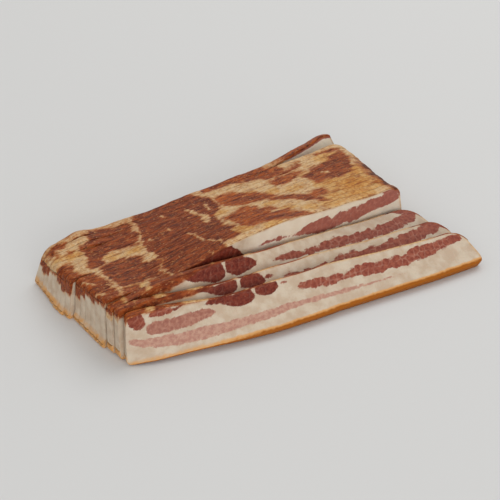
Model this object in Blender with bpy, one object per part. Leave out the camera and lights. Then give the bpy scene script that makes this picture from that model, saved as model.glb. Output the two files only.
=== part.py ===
"""Slab of smoked streaky bacon, cut right through into thick slices that still stand together.

Metres, +Z up. X runs along the slices, -Y is the front and the rind lies on z = 0. The slices of the block
stand on their rind edges. The last three stand up with them at the left end, and towards the right end each
leans back further and further against the slice behind it, like a row of tipped books. The rearmost slice
splays away at its right end. Each slice is a loft of one changing cross-section along its length.
"""

import math

import bmesh
import bpy
import numpy as np

# The cut: how many slices there are, and how thick the knife cut them.
BLOCK_SLICES = 14
FAN_SLICES = 3
SLICE_THICKNESS = 0.00545
FAN_THICKNESS = 0.0061
SLICE_GAP = 0.0003
PITCH = SLICE_THICKNESS + SLICE_GAP

# The outline of one slice, seen square on its cut face.
SLICE_LENGTH = 0.2305
REAR_EXTRA_LENGTH = 0.0130
FAN_EXTRA_LENGTH = 0.0050
REAR_LEFT_SETBACK = 0.0102
FRONT_LEFT_SETBACK = 0.0012
RIGHT_TOP_SETBACK = 0.0060
SETBACK_REACH = 0.050
BLOCK_FOOT_RADIUS = 0.0028
FAN_FOOT_RADIUS = 0.0060
REAR_TOP_RADIUS = 0.0068
FRONT_TOP_RADIUS = 0.0022
RIGHT_FOOT_RADIUS = 0.0050
RIGHT_TOP_RADIUS = 0.0125
RIGHT_TOP_SINK = 0.0064
FAN_TOP_SINK = 0.0092
SPLAYED_TOP_SINK = 0.0018

# The height of the slab: lowest at the back left, with a hump of muscle near the middle of the front.
BACK_LEFT_HEIGHT = 0.0227
FRONT_LEFT_RISE = 0.0055
FRONT_RISE = 0.0043
REAR_RIGHT_RISE = 0.0008
FRONT_RIGHT_RISE = 0.0031
HUMP_RISE = 0.0105
HUMP_CENTRE = 0.111
HUMP_REACH = 0.053
REAR_BUMP_SLICES = 3
REAR_BUMP_RISE = 0.0036
REAR_BUMP_CENTRE = 0.026
REAR_BUMP_REACH = 0.0135

# The left ends: the rear slices stand a little further out, and a crack parts them from the front ones.
CRACK_AFTER_SLICE = 7
LEFT_OVERHANG = 0.0045
REAR_LEFT_STEP = 0.0006
CRACK_STEP = 0.0028
CRACK_WIDTH = 0.0011
CRACK_DEPTH = 0.040
FAN_STEP = 0.0004

# The rind edge flares out past the left end. The two rearmost slices tuck theirs in, and the flare of the
# rear ones is widest just behind the crack.
REAR_TUCK = 0.0002
REAR_FLARE = 0.0031
REAR_FLARE_CENTRE = 5.6
REAR_FLARE_REACH = 1.8
FRONT_FLARE = 0.0030
FRONT_FLARE_START = 5.0
FRONT_FLARE_RUN = 13.0
FLARE_HEIGHT = 0.0065

# The fan: a slice leans by STANDING_LEAN degrees at its left end and sinks towards its LYING_LEAN at its
# right end, over its own reach. Each tuple runs from the slice next to the block to the front one.
STANDING_LEAN = 87.0
LYING_LEAN = (6.0, 6.0, 29.0)
LEAN_REACH = (0.1146, 0.1084, 0.0461)
LEAN_POWER = (1.34, 0.81, 0.81)
FAN_LEFT_WIDTH = (0.0314, 0.0330, 0.0322)
FAN_MIDDLE_WIDTH = (0.0340, 0.0286, 0.0271)
FAN_RIGHT_WIDTH = (0.0339, 0.0306, 0.0263)
FAN_HUMP = (0.0010, 0.0027, 0.0031)
FAN_CLEARANCE = 0.0005
FAN_LEFT_GAP = 0.0003
SOFT_START = 0.0070

# The rearmost slice splays back at its right end.
SPLAY_START = 0.160
SPLAY_FOOT = 0.0035
SPLAY_LEAN = 27.0

# Unevenness of the cuts and of the smoked side.
CUT_WAVE = 0.00045
CUT_WAVELENGTH = 0.105
TOP_WAVE = 0.00030
TOP_WAVELENGTH = 0.047
TOP_STEP = 0.00035
LEFT_END_STEP = 0.00066
RIGHT_END_STEP = 0.0011

# The mesh: edges of a slice are eased by this much, and a station comes at least this often.
EDGE_EASE = 0.0007
CROWN = 0.0008
STATION_SPACING = 0.0095
CORNER_STATIONS = 4

# Colours of the smoked slices and of those whose cut face shows.
SMOKED_COLOUR = (0.30, 0.115, 0.06, 1.0)
CUT_COLOUR = (0.60, 0.42, 0.30, 1.0)
MEAT_ROUGHNESS = 0.55


def ease(start, end, x):
    """0 before start, 1 after end, and smooth between."""
    share = np.clip((np.asarray(x, float) - start) / (end - start), 0.0, 1.0)
    return share * share * (3.0 - 2.0 * share)


def hump(centre, reach, x):
    return np.exp(-(((np.asarray(x, float) - centre) / reach) ** 2))


def step_of(number, salt):
    """An uneven but repeatable number from -1 to 1 for each slice."""
    return math.sin(12.9898 * (number + 1) + 78.233 * salt)


def front_share(number):
    """0 at the rearmost slice and 1 at the front of the block."""
    return min(number / (BLOCK_SLICES - 1), 1.0)


def rear_share(number):
    """1 at the rearmost slice and 0 from the first slice that has none of the rear bump."""
    return max(0.0, 1.0 - number / REAR_BUMP_SLICES)


def left_flare(number):
    """How far the rind edge of a slice flares out at its left end."""
    if number <= CRACK_AFTER_SLICE:
        return REAR_FLARE * float(hump(REAR_FLARE_CENTRE, REAR_FLARE_REACH, number)) - REAR_TUCK
    return FRONT_FLARE * math.sin(math.pi * (number - FRONT_FLARE_START) / FRONT_FLARE_RUN)


def left_end(number):
    """Where a slice's foot begins along X."""
    x = -LEFT_OVERHANG + LEFT_END_STEP * step_of(number, 1) + REAR_LEFT_STEP * rear_share(number)
    if number > CRACK_AFTER_SLICE:
        x += CRACK_STEP
    if number >= BLOCK_SLICES:
        x += FAN_STEP * (number - BLOCK_SLICES + 1) ** 2
    return x - left_flare(number)


def slice_length(number):
    """Length of a slice along its rind: the rear ones reach further to the right."""
    right_end = SLICE_LENGTH + REAR_EXTRA_LENGTH * (1.0 - front_share(number)) ** 1.3
    right_end += RIGHT_END_STEP * step_of(number, 2)
    if number >= BLOCK_SLICES:
        right_end += FAN_EXTRA_LENGTH
    return right_end - left_end(number)


def top_wave(number, x):
    wave = np.sin(2.0 * math.pi * x / TOP_WAVELENGTH + 2.1 * number)
    return TOP_STEP * step_of(number, 3) + TOP_WAVE * wave


def block_height(number, x):
    """Height of the smoked top above the floor."""
    front = front_share(number)
    left = 1.0 - ease(0.0, 0.045, x)
    height = BACK_LEFT_HEIGHT + FRONT_LEFT_RISE * front * left + FRONT_RISE * front
    right_rise = REAR_RIGHT_RISE + (FRONT_RIGHT_RISE - REAR_RIGHT_RISE) * front
    height = height + right_rise * ease(0.100, 0.190, x)
    height = height + REAR_BUMP_RISE * rear_share(number) * hump(REAR_BUMP_CENTRE, REAR_BUMP_REACH, x)
    height = height + HUMP_RISE * front**1.4 * hump(HUMP_CENTRE, HUMP_REACH, x)
    return height + top_wave(number, x)


def cut_y(cut, x):
    """The knife's path: cut n parts slice n - 1 from slice n. It leaves the crack open at the left end."""
    wave = np.sin(2.0 * math.pi * x / CUT_WAVELENGTH + 0.35 * cut)
    y = -PITCH * cut + CUT_WAVE * wave
    if cut > CRACK_AFTER_SLICE:
        y = y - CRACK_WIDTH * (1.0 - ease(0.0, CRACK_DEPTH, x))
    return y


def block_pose(number, x):
    """(foot line, lean, width, thickness) of a slice of the block at x, with the lean in radians."""
    back = cut_y(number, x) - SLICE_GAP / 2.0
    front = cut_y(number + 1, x) + SLICE_GAP / 2.0
    if number == CRACK_AFTER_SLICE:
        front = front + CRACK_WIDTH * (1.0 - ease(0.0, CRACK_DEPTH, x))
    lean = np.full_like(x, math.pi / 2.0)
    if number == 0:
        splay = np.clip((x - SPLAY_START) / (SLICE_LENGTH - SPLAY_START), 0.0, 1.0)
        thickness = back - front
        back = back + SPLAY_FOOT * splay**2
        front = back - thickness
        lean = lean - math.radians(SPLAY_LEAN) * splay**1.5
    return back, lean, block_height(number, x), back - front


def fan_lean(place, x):
    """Lean from the floor in radians. place is 0 for the slice next to the block."""
    run = (np.hypot(np.clip(x, 0.0, None), SOFT_START) - SOFT_START) / LEAN_REACH[place]
    lying = LYING_LEAN[place]
    return np.radians(lying + (STANDING_LEAN - lying) * np.exp(-(run ** LEAN_POWER[place])))


def fan_width(place, x):
    width = FAN_LEFT_WIDTH[place] + (FAN_MIDDLE_WIDTH[place] - FAN_LEFT_WIDTH[place]) * ease(0.0, 0.060, x)
    width = width + (FAN_RIGHT_WIDTH[place] - FAN_MIDDLE_WIDTH[place]) * ease(0.140, 0.230, x)
    return width + FAN_HUMP[place] * hump(HUMP_CENTRE, HUMP_REACH, x)


def fan_foot(place, x):
    """Where a slice of the fan stands: it rests its top edge, or its back, on the slice behind it."""
    lean, width = fan_lean(place, x), fan_width(place, x)
    clearance = FAN_CLEARANCE / np.sin(lean) + FAN_LEFT_GAP * (1.0 - ease(0.0, CRACK_DEPTH, x))
    if place == 0:
        face = cut_y(BLOCK_SLICES, x) + SLICE_GAP / 2.0
        return face - width * np.cos(lean) - clearance
    behind, behind_width = fan_lean(place - 1, x), fan_width(place - 1, x)
    edge_y = fan_foot(place - 1, x) - FAN_THICKNESS * np.sin(behind)
    edge_z = FAN_THICKNESS * np.cos(behind)
    on_its_foot = edge_y - edge_z / np.tan(lean)
    top_z = np.minimum(width * np.sin(lean), behind_width * np.sin(behind) + edge_z)
    on_its_face = edge_y + (top_z - edge_z) / np.tan(behind) - width * np.cos(lean)
    return np.minimum(on_its_foot, on_its_face) - clearance


def fan_pose(number, x):
    place = number - BLOCK_SLICES
    width = fan_width(place, x) + 0.5 * top_wave(number, x)
    return fan_foot(place, x), fan_lean(place, x), width, np.full_like(x, FAN_THICKNESS)


def corner_rise(distance, radius):
    """How far a round corner lifts the edge, at a distance from the end."""
    inside = np.clip(radius - distance, 0.0, radius)
    return radius - np.sqrt(radius**2 - inside**2)


def left_corners(number):
    """(setback of the top, radius at the top, radius at the foot) of a slice's left end."""
    rear = (1.0 - front_share(number)) ** 2
    setback = FRONT_LEFT_SETBACK + (REAR_LEFT_SETBACK - FRONT_LEFT_SETBACK) * rear
    top_radius = FRONT_TOP_RADIUS + (REAR_TOP_RADIUS - FRONT_TOP_RADIUS) * rear
    return setback, top_radius, FAN_FOOT_RADIUS if number >= BLOCK_SLICES else BLOCK_FOOT_RADIUS


def stations(length, left_radius):
    """Distances along a slice, close together in the rounded corners."""
    turn = np.linspace(0.0, math.pi / 2.0, CORNER_STATIONS + 1)
    left = left_radius * (1.0 - np.cos(turn))
    right = length - RIGHT_TOP_RADIUS * (1.0 - np.cos(turn))[::-1]
    count = int(round((right[0] - left[-1]) / STATION_SPACING))
    middle = np.linspace(left[-1], right[0], count + 1)[1:-1]
    return np.concatenate([left, middle, right])


def section(width, thickness, foot_rise, top_drop):
    """Corners of the cross-section as (height up the slice, depth from its back face)."""
    low, high = foot_rise, width - top_drop
    waist = low + FLARE_HEIGHT
    return [
        (low + EDGE_EASE, 0.0 * thickness),
        (low, EDGE_EASE + 0.0 * thickness),
        (low, thickness - EDGE_EASE),
        (low + EDGE_EASE, thickness),
        (waist, thickness),
        (high - CROWN, thickness),
        (high - 0.25 * CROWN, 0.80 * thickness),
        (high, 0.45 * thickness),
        (high - 0.35 * CROWN, 0.15 * thickness),
        (high - CROWN, 0.0 * thickness),
        (waist, 0.0 * thickness),
    ]


def slice_rings(number):
    """Points of one slice as an array of stations by corners by 3."""
    length = slice_length(number)
    start = left_end(number)
    left_setback, left_top_radius, left_foot_radius = left_corners(number)
    along = stations(length, max(left_top_radius, left_foot_radius))
    pose = fan_pose if number >= BLOCK_SLICES else block_pose
    foot_rise = corner_rise(along, left_foot_radius) + corner_rise(length - along, RIGHT_FOOT_RADIUS)
    top_drop = corner_rise(along, left_top_radius)
    sink = SPLAYED_TOP_SINK if number == 0 else RIGHT_TOP_SINK
    if number >= BLOCK_SLICES:
        sink = FAN_TOP_SINK
    top_drop = top_drop + corner_rise(length - along, RIGHT_TOP_RADIUS) * sink / RIGHT_TOP_RADIUS
    from_left = 1.0 - ease(0.0, SETBACK_REACH, along)
    from_right = ease(length - SETBACK_REACH, length, along)
    _, _, width, thickness = pose(number, start + along)
    rings = []
    for height, depth in section(width, thickness, foot_rise, top_drop):
        setback = left_setback * from_left - RIGHT_TOP_SETBACK * from_right
        flare = left_flare(number) * from_left * np.minimum(height / FLARE_HEIGHT, 1.0)
        x = start + along + setback * height / width + flare
        foot_y, lean, _, _ = pose(number, x)
        slope = (pose(number, x + 0.001)[0] - pose(number, x - 0.001)[0]) / 0.002
        turn = np.arctan(slope) if number >= BLOCK_SLICES else np.zeros_like(x)
        reach = height * np.cos(lean) - depth * np.sin(lean)
        z = height * np.sin(lean) + depth * np.cos(lean)
        rings.append(np.stack([x - reach * np.sin(turn), foot_y + reach * np.cos(turn), z], axis=-1))
    return np.stack(rings, axis=1)


def loft(name, rings):
    """A closed mesh through rings of points, flat at both ends."""
    mesh = bpy.data.meshes.new(name)
    shape = bmesh.new()
    loops = [[shape.verts.new(point) for point in ring] for ring in rings]
    count = len(loops[0])
    for ring, following in zip(loops, loops[1:]):
        for i in range(count):
            j = (i + 1) % count
            shape.faces.new((ring[i], following[i], following[j], ring[j]))
    shape.faces.new(loops[0])
    shape.faces.new(reversed(loops[-1]))
    bmesh.ops.recalc_face_normals(shape, faces=shape.faces)
    shape.to_mesh(mesh)
    shape.free()
    return mesh


def meat_material(name, colour):
    material = bpy.data.materials.new(name)
    material.use_nodes = True
    surface = material.node_tree.nodes["Principled BSDF"]
    surface.inputs["Base Color"].default_value = colour
    surface.inputs["Roughness"].default_value = MEAT_ROUGHNESS
    surface.inputs["Metallic"].default_value = 0.0
    return material


def main():
    for old in list(bpy.context.scene.objects):
        bpy.data.objects.remove(old, do_unlink=True)
    slab = bpy.data.collections.new("streaky_bacon_slab")
    bpy.context.scene.collection.children.link(slab)
    smoked = meat_material("smoked_side", SMOKED_COLOUR)
    cut = meat_material("cut_face", CUT_COLOUR)

    slices = [slice_rings(number) for number in range(BLOCK_SLICES + FAN_SLICES)]
    points = np.concatenate([rings.reshape(-1, 3) for rings in slices])
    low, high = points.min(axis=0), points.max(axis=0)
    origin = np.array([(low[0] + high[0]) / 2.0, (low[1] + high[1]) / 2.0, 0.0])
    for number, rings in enumerate(slices):
        name = f"slice_{number + 1:02d}"
        mesh = loft(name, rings - origin)
        mesh.materials.append(cut if number >= BLOCK_SLICES - 1 else smoked)
        slab.objects.link(bpy.data.objects.new(name, mesh))


main()
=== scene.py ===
"""Looks of a slab of smoked streaky bacon in thick slices, part of it fanned out.

Every slice is rebuilt as a fine mesh over the shape of its solid, with relief, and carries fields that say
where its lean, fat, smoked skin, rind and charred edges lie. One procedural material turns the fields into
meat. Lengths in the meat's own tables are in millimetres, everything else is in metres.
"""

import math
from types import SimpleNamespace

import bpy
import numpy as np
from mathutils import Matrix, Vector


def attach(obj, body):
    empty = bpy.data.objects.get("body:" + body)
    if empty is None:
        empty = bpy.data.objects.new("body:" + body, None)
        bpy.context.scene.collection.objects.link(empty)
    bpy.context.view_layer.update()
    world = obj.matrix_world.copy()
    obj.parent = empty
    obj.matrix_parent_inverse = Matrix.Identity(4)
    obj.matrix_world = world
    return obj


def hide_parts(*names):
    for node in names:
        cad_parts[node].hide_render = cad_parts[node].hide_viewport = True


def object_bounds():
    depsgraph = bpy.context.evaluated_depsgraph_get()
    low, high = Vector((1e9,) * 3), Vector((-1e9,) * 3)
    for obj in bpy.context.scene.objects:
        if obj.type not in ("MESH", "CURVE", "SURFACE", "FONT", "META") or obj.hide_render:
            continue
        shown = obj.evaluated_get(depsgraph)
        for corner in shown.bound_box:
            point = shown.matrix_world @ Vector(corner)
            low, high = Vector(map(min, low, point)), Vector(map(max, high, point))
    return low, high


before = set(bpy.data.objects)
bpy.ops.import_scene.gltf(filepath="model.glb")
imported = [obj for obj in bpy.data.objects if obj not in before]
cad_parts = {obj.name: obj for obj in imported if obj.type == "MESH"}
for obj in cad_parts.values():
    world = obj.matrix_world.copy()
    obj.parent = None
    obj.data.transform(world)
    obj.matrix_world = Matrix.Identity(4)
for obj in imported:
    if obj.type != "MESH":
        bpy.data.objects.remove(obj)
cad_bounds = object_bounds()

# The solids' origin, seen from the rear slice's left foot.
ORIGIN = np.array([0.11781, -0.06843, 0.0])

# The cut: how many slices there are, and how thick the knife cut them.
BLOCK_SLICES = 14
FAN_SLICES = 3
SLICE_THICKNESS = 0.00567
FAN_THICKNESS = 0.0061
SLICE_GAP = 0.00008
PITCH = SLICE_THICKNESS + SLICE_GAP

# The outline of one slice, seen square on its cut face.
SLICE_LENGTH = 0.2305
REAR_EXTRA_LENGTH = 0.0130
REAR_LENGTH_POWER = 1.3
FAN_EXTRA_LENGTH = 0.0050
REAR_LEFT_SETBACK = 0.0102
FRONT_LEFT_SETBACK = 0.0012
RIGHT_TOP_SETBACK = 0.0060
SETBACK_REACH = 0.050
BLOCK_FOOT_RADIUS = 0.0028
FAN_FOOT_RADIUS = 0.0060
REAR_TOP_RADIUS = 0.0068
FRONT_TOP_RADIUS = 0.0022
RIGHT_FOOT_RADIUS = 0.0050
RIGHT_TOP_RADIUS = 0.0125
RIGHT_TOP_SINK = 0.0064
FAN_TOP_SINK = 0.0092
SPLAYED_TOP_SINK = 0.0018

# The height of the slab: lowest at the back left, with a hump of muscle near the middle of the front.
BACK_LEFT_HEIGHT = 0.0227
FRONT_LEFT_RISE = 0.0055
LEFT_RISE_END = 0.045
FRONT_RISE = 0.0043
REAR_RIGHT_RISE = 0.0008
FRONT_RIGHT_RISE = 0.0031
RIGHT_RISE_SPAN = (0.100, 0.190)
HUMP_RISE = 0.0105
HUMP_CENTRE = 0.111
HUMP_REACH = 0.053
HUMP_POWER = 1.4
REAR_BUMP_SLICES = 3
REAR_BUMP_RISE = 0.0036
REAR_BUMP_CENTRE = 0.026
REAR_BUMP_REACH = 0.0135

# The left ends: the rear slices stand a little further out, and a crack parts them from the front ones.
CRACK_AFTER_SLICE = 7
LEFT_OVERHANG = 0.0045
REAR_LEFT_STEP = 0.0006
CRACK_STEP = 0.0028
CRACK_WIDTH = 0.0011
CRACK_DEPTH = 0.040
FAN_STEP = 0.0004

# The rind edge flares out past the left end. The two rearmost slices tuck theirs in, and the flare of the
# rear ones is widest just behind the crack.
REAR_TUCK = 0.0002
REAR_FLARE = 0.0031
REAR_FLARE_CENTRE = 5.6
REAR_FLARE_REACH = 1.8
FRONT_FLARE = 0.0030
FRONT_FLARE_START = 5.0
FRONT_FLARE_RUN = 13.0
FLARE_HEIGHT = 0.0065

# The fan: a slice leans by STANDING_LEAN degrees at its left end and sinks towards its LYING_LEAN at its
# right end, over its own reach. Each tuple runs from the slice next to the block to the front one.
STANDING_LEAN = 87.0
LYING_LEAN = (6.0, 6.0, 29.0)
LEAN_REACH = (0.1146, 0.1084, 0.0461)
LEAN_POWER = (1.34, 0.81, 0.81)
FAN_LEFT_WIDTH = (0.0314, 0.0330, 0.0322)
FAN_MIDDLE_WIDTH = (0.0340, 0.0286, 0.0271)
FAN_RIGHT_WIDTH = (0.0339, 0.0306, 0.0263)
FAN_HUMP = (0.0010, 0.0027, 0.0031)
FAN_LEFT_SPAN = (0.0, 0.060)
FAN_RIGHT_SPAN = (0.140, 0.230)
FAN_CLEARANCE = 0.0005
FAN_LEFT_GAP = 0.0003
SOFT_START = 0.0070

# The rearmost slice splays back at its right end.
SPLAY_START = 0.160
SPLAY_FOOT = 0.0035
SPLAY_LEAN = 27.0
SPLAY_POWER = 1.5

# Unevenness of the cuts and of the smoked side.
CUT_WAVE = 0.00045
CUT_WAVELENGTH = 0.105
CUT_WAVE_TURN = 0.35
TOP_WAVE = 0.00030
TOP_WAVELENGTH = 0.047
TOP_WAVE_TURN = 2.1
FAN_TOP_WAVE = 0.5
TOP_STEP = 0.00035
LEFT_END_STEP = 0.00066
RIGHT_END_STEP = 0.0011

# The fine mesh: spacing along, up shown and hidden faces, shares of the thickness, stations at each end.
ALONG_SPACING = 0.0007
UP_SPACING = 0.0007
HIDDEN_SPACING = 0.0020
ACROSS = np.array([0.0, 0.06, *np.linspace(0.15, 0.85, 7), 0.94, 1.0])
END_STATIONS = 9
TYPICAL_WIDTH = 0.029
# Rounding of the long edges, of the smoked edge between them and of the upright edges.
EDGE_EASE, EDGE_SLOPE = 0.0007, 0.35
CROWN, CROWN_MIDDLE, CROWN_POWER = 0.0005, 0.45, 4.0
END_ROUND, END_REACH = 0.00025, 0.003
# How far to either side the direction of a slice's foot is measured.
SLOPE_STEP = 0.001
MM = 1000.0

# The meat's tables count TOP_UNITS along the smoked top. Slices have slipped a little on each other.
TOP_UNITS = 240.0
SLICE_SLIP = 1.3
# No field goes further from its outline than this.
FAR = 99.0
# Bundles of muscle: size, slant, margin of their middles in their cells, how far they swell out of a stripe,
# the share of that in a lobe, and the depth and width of the pinch between them.
BUNDLE_SIZE = 4.6
BUNDLE_SKEW = 0.35
BUNDLE_MARGIN = 0.2
BUNDLE_BULGE = 0.9
LOBE_BULGE = 0.35
BUNDLE_PINCH = 0.30
PINCH_WIDTH = 0.45
# Slices with painted light on their faces, and from where along. Then the slice whose marbling the rear one
# shares.
PAINTED_LIGHT_FACES = (0, BLOCK_SLICES - 1)
PAINTED_LIGHT_FROM = (102.0, 114.0)
REAR_FACE_LIKE = 16
# How deep lean hangs over the left end of each slice, and how dark it is.
END_HANG = (3.5, 6.0, 5.5, 1.2, 1.2, 4.5, 7.5, 8.0, 8.5, 6.0, 2.8, 4.2, 2.2, 1.8, 2.0, 2.0, 2.5)
END_HANG_DARK = 0.75
# Lean along the right of the rear slice: where it grows, how much sooner the front loses its other lean,
# its depth and darkness there, and its growth on top.
REAR_RIM = (178.0, 206.0)
REAR_RIM_LEAD = 20.0
REAR_RIM_DEPTH, REAR_RIM_DARK = 3.2, 0.7
REAR_RIM_TOP = (3.0, 1.0)
# Lean draped over the left of the open faces: depth on each, reach along, darkness, and its smoky edge.
FAN_SKIN = (3.0, 6.0, 5.0, 1.5)
FAN_SKIN_REACH = (44.0, 71.0)
FAN_SKIN_DARK = 0.72
FAN_SKIN_EDGE = (-1.2, 0.2)
# Lean over the right tips of those faces: depth, reach back from the right end, and darkness.
TIP_DEPTH = (4.0, 4.5, 4.5, 1.0)
TIP_REACH = (20.0, 11.0)
TIP_DARK = 0.6
# How far lean and smoke go in under the smoked side: in the block, on open faces, and more at the left end.
SKIN_LEAN = 1.6
BLOCK_SKIN, FACE_SKIN, END_SKIN = 1.6, 0.45, 0.3
BLOCK_SMOKE, FACE_SMOKE = (1.4, 3.0), (0.6, 1.6)
TOP_DEPTH = 0.3
# Where the left and right ends turn into the sides, and how smoked and golden the right end and lean that
# hangs over an edge are.
LEFT_TURN, RIGHT_TURN = (0.6, 2.6), (2.4, 0.6)
RIGHT_SMOKE, RIGHT_GOLD = 0.55, 0.35
HANG_SMOKE = 0.8
# Rind: its strength at the left, where along the slice it grows to full strength, and its height.
RIND_LEFT = 0.45
RIND_SPREAD = (40.0, 90.0)
RIND_HEIGHT = (0.8, 4.6)
# Crumbly rind on the left end and underneath: least strength and what crumbs add, height, browning along.
CRUMB_END, CRUMB_FOOT = (0.30, 0.65), (0.35, 0.35)
CRUMB_HEIGHT = (5.0, 9.0)
FOOT_BROWN, FOOT_SPREAD = 0.6, (2.0, 12.0)
# Char: strength on the block and on the fan, reach, how much the distance from the right end counts, between
# which slices it sets in, and its even share.
CHAR_AMOUNT = (1.4, 0.9)
CHAR_REACH = 2.0
CHAR_SLOPE = 0.24
CHAR_FROM = (2.0, 7.0)
CHAR_EVEN = 0.75
# Unevenness, by use: (seed, size or sizes along, across and up, amount).
UNEVEN = {
    "fray": (1, (16.0, 1.1, 9.0), 1.6),
    "fine_fray": (2, (5.0, 2.6, 5.0), 1.0),
    "drift": (3, (9.0, 3.0, 9.0), 0.8),
    "fine_drift": (4, 2.2, 0.45),
    "face": (5, 2.4, 0.35),
    "crumbs": (7, 2.2, 0.5),
    "hang": (8, (3.0, 1.6, 3.0), 1.1),
    "rind": (9, 5.0, 0.4),
    "bumps": (11, (6.0, 3.0, 4.0), 0.15),
    "fine_bumps": (12, 1.8, 0.09),
    "fibres": (13, (7.0, 0.9, 3.0), 0.10),
    "drape": (21, (7.0, 3.0, 2.0), 1.2),
    "char": (22, (2.5, 4.0, 2.5), 0.6),
}
# Relief: bumps and the step from lean up to fat, on cut faces and what the skin adds. Below this depth, faces
# between slices stay flat.
CUT_BUMPS, SKIN_BUMPS = 0.35, 0.65
CUT_STEP, SKIN_STEP = 0.08, 0.14
FLAT_BELOW = 0.8
# The unit of the material's noises, and what the fields for seams and cuts hold where there are none.
NOISE_UNIT = 10.0
NO_SEAM, NO_CUT = 2.0, 9.0

# Screen colours of the meat, from 0 to 255. Those that come in twos are mottled into each other.
CUT_FAT = (200, 184, 163), (186, 164, 141)
SMOKED_CREAM = (208, 180, 142)
# Painted light: the brighter fat and lean that those faces are tinted towards.
FAT_PAINTED_LIGHT, LEAN_PAINTED_LIGHT = (238, 228, 208), (196, 132, 120)
PALE_GOLD = (206, 164, 104), (194, 142, 78)
DEEP_GOLD = (196, 138, 62), (178, 112, 42)
STAIN = (132, 64, 26)
PALE_STRIPE = (190, 150, 130), (172, 124, 108)
STRIPE_LEAN = (152, 82, 62), (126, 58, 44)
MUSCLE = (120, 50, 34), (94, 32, 22)
SEAM_FAT = (196, 150, 128)
BROWN = (178, 90, 26), (118, 44, 8)
DEEP = (150, 70, 24), (92, 32, 6)
TAN_STREAK = (198, 136, 80)
LEAN_RIM = (158, 78, 32)
LEAN_GRAIN = (84, 34, 24)
# Painted shade in the gaps between slices on the smoked side.
PAINTED_GAP_SHADE = (96, 50, 30)
# Where a noise turns from the first colour of two into the second.
MOTTLE = (0.34, 0.66)
# Colours that grow over the others while a value rises: (colour, from, to, most).
LAYERS = {
    "fat_grain": ((172, 138, 112), 0.52, 0.82, 0.40),
    "near_lean": ((168, 102, 50), -2.6, -0.2, 0.60),
    "lean_fleck": ((176, 116, 96), 0.50, 0.80, 0.35),
    "dark_streak": ((58, 18, 6), 0.52, 0.66, 0.75),
    # Painted highlight: small light glints on the smoked lean.
    "painted_glint": ((206, 158, 112), 0.64, 0.74, 0.70),
    "rind_tan": ((206, 152, 92), 0.10, 0.55, 1.0),
    "rind_brown": ((152, 84, 10), 0.52, 0.95, 1.0),
    "scorch": ((150, 74, 22), 0.15, 0.50, 0.80),
    "char": ((70, 24, 8), 0.45, 0.95, 0.85),
}

# The material's noises: (stretch along, across and up, scale, detail, roughness).
NOISES = {
    "coarse": (None, 1.5, 3.0, 0.5),
    "medium": (None, 4.5, 3.0, 0.5),
    "fine": (None, 13.0, 3.0, 0.6),
    "fibre": ((0.5, 2.4, 1.5), 2.3, 4.0, 0.66),
    "fleck": ((0.8, 1.8, 1.6), 4.0, 3.0, 0.65),
    "grain": ((1.0, 2.2, 2.2), 20.0, 2.0, 0.6),
    "stains": ((1.0, 2.8, 2.0), 3.4, 4.0, 0.7),
    "streaks": ((0.5, 2.2, 1.5), 4.6, 3.0, 0.65),
    "specks": ((1.0, 1.7, 1.7), 6.5, 2.0, 0.5),
}
SURFACE = {
    "Specular IOR Level": 0.16,
    "Subsurface Weight": 0.06,
    "Subsurface Radius": (1.0, 0.50, 0.30),
    "Subsurface Scale": 0.0012,
}
BUMP_STRENGTH = 0.5
BUMP_DISTANCE = 0.0005
# The mix node keeps its colours in these sockets.
MIX_FIRST_COLOUR, MIX_SECOND_COLOUR, MIX_COLOUR_OUT = 6, 7, 2

# Floor, lights and camera. A light is (name, azimuth, elevation, distance, size, watts).
FLOOR_SIZE = 6.0
FLOOR_COLOUR = (213, 213, 212)
FLOOR_SURFACE = {"Roughness": 0.9, "Specular IOR Level": 0.1}
WORLD_COLOUR = (1.0, 0.992, 0.98, 1.0)
WORLD_STRENGTH = 0.66
LIGHTS = [
    ("key", 115.0, 55.0, 2.0, 1.4, 12.0),
    ("fill", -22.0, 7.0, 2.4, 2.0, 40.0),
]
TARGET = (0.00913, 0.01950, 0.0)
AZIMUTH, ELEVATION, DISTANCE = -36.05, 34.0, 0.900
# Focal length over the picture's width, both in pixels, and the sensor's width in millimetres.
FOCAL_SHARE = 1400.0 / 500.0
SENSOR = 36.0
CLIP_START = 0.05


# ---- shape of the slices


def ease(start, end, x):
    """0 before start, 1 after end, and smooth between."""
    share = np.clip((np.asarray(x, float) - start) / (end - start), 0.0, 1.0)
    return share * share * (3.0 - 2.0 * share)


def hump(centre, reach, x):
    return np.exp(-(((np.asarray(x, float) - centre) / reach) ** 2))


def step_of(number, salt):
    """An uneven but repeatable number from -1 to 1 for each slice."""
    return math.sin(12.9898 * (number + 1) + 78.233 * salt)


def front_share(number):
    """0 at the rearmost slice and 1 at the front of the block."""
    return min(number / (BLOCK_SLICES - 1), 1.0)


def rear_share(number):
    """1 at the rearmost slice and 0 from the first slice that has none of the rear bump."""
    return max(0.0, 1.0 - number / REAR_BUMP_SLICES)


def left_flare(number):
    """How far the rind edge of a slice flares out at its left end."""
    if number <= CRACK_AFTER_SLICE:
        return REAR_FLARE * float(hump(REAR_FLARE_CENTRE, REAR_FLARE_REACH, number)) - REAR_TUCK
    return FRONT_FLARE * math.sin(math.pi * (number - FRONT_FLARE_START) / FRONT_FLARE_RUN)


def left_end(number):
    """Where a slice's foot begins along X."""
    x = -LEFT_OVERHANG + LEFT_END_STEP * step_of(number, 1) + REAR_LEFT_STEP * rear_share(number)
    if number > CRACK_AFTER_SLICE:
        x += CRACK_STEP
    if number >= BLOCK_SLICES:
        x += FAN_STEP * (number - BLOCK_SLICES + 1) ** 2
    return x - left_flare(number)


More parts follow.
